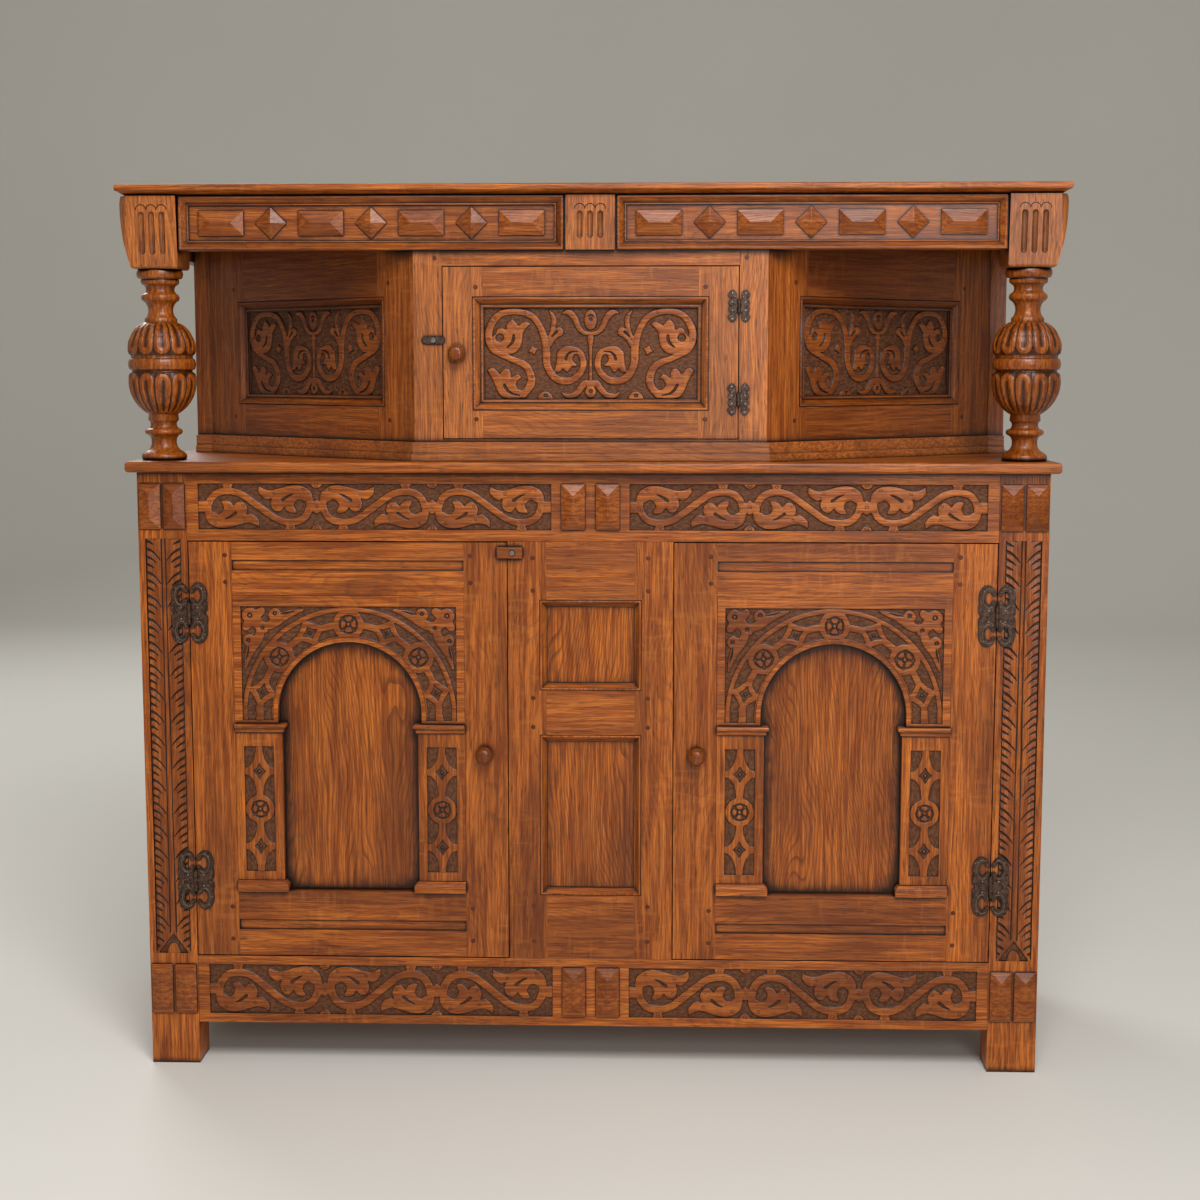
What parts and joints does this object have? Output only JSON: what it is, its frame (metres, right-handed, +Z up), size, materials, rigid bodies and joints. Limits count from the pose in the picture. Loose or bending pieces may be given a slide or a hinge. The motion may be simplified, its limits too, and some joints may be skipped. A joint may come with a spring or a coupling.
{
  "type": "court cupboard",
  "caption": "Two-storey carved oak court cupboard with arcaded doors below, a canted display stage with a small door above, and turned bulbous columns.",
  "frame": {"origin": "on the floor, in the middle of the width and of the whole depth, knobs included", "axes": "+X to the right as seen from the front, +Y from the front to the back, +Z up"},
  "size_m": [1.38, 0.468, 1.323],
  "materials": {
    "oak_frame": "waxed oak, straight grain with pale ray flecks",
    "oak_panels": "waxed oak panels, darker at their edges",
    "oak_boards": "waxed oak boards with rounded noses",
    "oak_turned": "waxed oak, turned and cut, dark in the hollows",
    "oak_arcade": "waxed oak with a dark carved ground",
    "oak_plain": "plain unpolished oak",
    "oak_pegs": "dark end grain",
    "iron": "blackened iron, worn bright at its rims",
    "nails": "rubbed iron nail heads",
    "screws": "dull iron"
  },
  "bodies": {
    "root": {"back_panels": "oak_plain", "button_screws": "screws", "canted_panels": "oak_panels", "canted_rails": "oak_frame", "canted_stiles": "oak_frame", "centre_panels": "oak_panels", "centre_rails": "oak_frame", "centre_stiles": "oak_frame", "columns": "oak_turned", "frame_nails": "nails", "frame_pegs": "oak_pegs", "frieze_blocks": "oak_turned", "frieze_boards": "oak_frame", "frieze_bosses": "oak_turned", "frieze_mouldings": "oak_frame", "front_posts": "oak_frame", "front_rails": "oak_frame", "hinge_frame_leaves": "iron", "hinge_pins": "iron", "mid_board": "oak_boards", "rail_bosses": "oak_turned", "rear_posts": "oak_plain", "shelf_bearers": "oak_plain", "shelf_boards": "oak_plain", "side_panels": "oak_panels", "side_rails": "oak_frame", "side_returns": "oak_frame", "top_board": "oak_boards", "upper_plinth": "oak_frame", "upper_rails": "oak_frame", "upper_stiles": "oak_frame"},
    "left_door": {"left_door_arch": "oak_arcade", "left_door_capitals": "oak_arcade", "left_door_hinge_leaves": "iron", "left_door_knob": "oak_turned", "left_door_nails": "nails", "left_door_panel": "oak_panels", "left_door_pegs": "oak_pegs", "left_door_pilasters": "oak_arcade", "left_door_rails": "oak_frame", "left_door_stiles": "oak_frame"},
    "right_door": {"right_door_arch": "oak_arcade", "right_door_capitals": "oak_arcade", "right_door_hinge_leaves": "iron", "right_door_knob": "oak_turned", "right_door_nails": "nails", "right_door_panel": "oak_panels", "right_door_pegs": "oak_pegs", "right_door_pilasters": "oak_arcade", "right_door_rails": "oak_frame", "right_door_stiles": "oak_frame"},
    "upper_door": {"upper_door_hinge_leaves": "iron", "upper_door_knob": "oak_turned", "upper_door_nails": "nails", "upper_door_panel": "oak_panels", "upper_door_pegs": "oak_pegs", "upper_door_rails": "oak_frame", "upper_door_stiles": "oak_frame"},
    "iron_latch": {"iron_latch": "iron"},
    "turn_button": {"turn_button": "oak_turned"}
  },
  "joints": [
    {"name": "left_door_hinge", "type": "hinge", "parent": "root", "child": "left_door", "pos_m": [-0.59875, -0.2098, 0.5], "axis": [0, 0, -1], "range_deg": [0, 170]},
    {"name": "right_door_hinge", "type": "hinge", "parent": "root", "child": "right_door", "pos_m": [0.59875, -0.2098, 0.5], "axis": [0, 0, 1], "range_deg": [0, 170]},
    {"name": "upper_door_hinge", "type": "hinge", "parent": "root", "child": "upper_door", "pos_m": [0.21625, -0.2058, 1.08], "axis": [0, 0, 1], "range_deg": [0, 160]},
    {"name": "iron_latch_turn", "type": "hinge", "parent": "root", "child": "iron_latch", "pos_m": [-0.23, -0.2038, 1.099], "axis": [0, -1, 0], "continuous": true},
    {"name": "turn_button_turn", "type": "hinge", "parent": "root", "child": "turn_button", "pos_m": [-0.1155, -0.2098, 0.7875], "axis": [0, -1, 0], "continuous": true}
  ]
}
